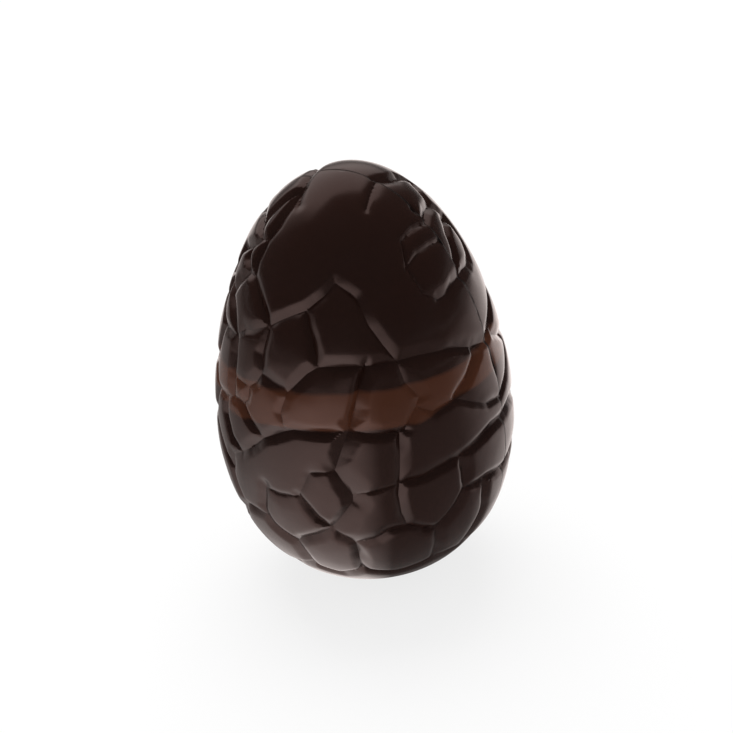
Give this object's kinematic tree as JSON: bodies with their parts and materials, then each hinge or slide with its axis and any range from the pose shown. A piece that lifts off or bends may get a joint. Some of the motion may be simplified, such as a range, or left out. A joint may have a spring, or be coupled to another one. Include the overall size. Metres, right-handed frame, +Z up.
{
  "type": "chocolate egg",
  "caption": "Moulded dark chocolate egg with a cracked-tile relief of bevelled patches, an upright mould seam and a small flat spot at its blunt end to stand on.",
  "frame": {"origin": "centre of the small flat spot under the blunt end", "axes": "+Z up along the egg's long axis, narrow end up; the front half of the mould faces -Y, the rear half +Y; the mould seam lies in the XZ plane"},
  "size_m": [0.0808, 0.0806, 0.1189],
  "materials": {
    "chocolate": "glossy dark chocolate with a slightly lighter, redder belt round the middle"
  },
  "bodies": {
    "root": {"egg": "chocolate"}
  },
  "joints": []
}
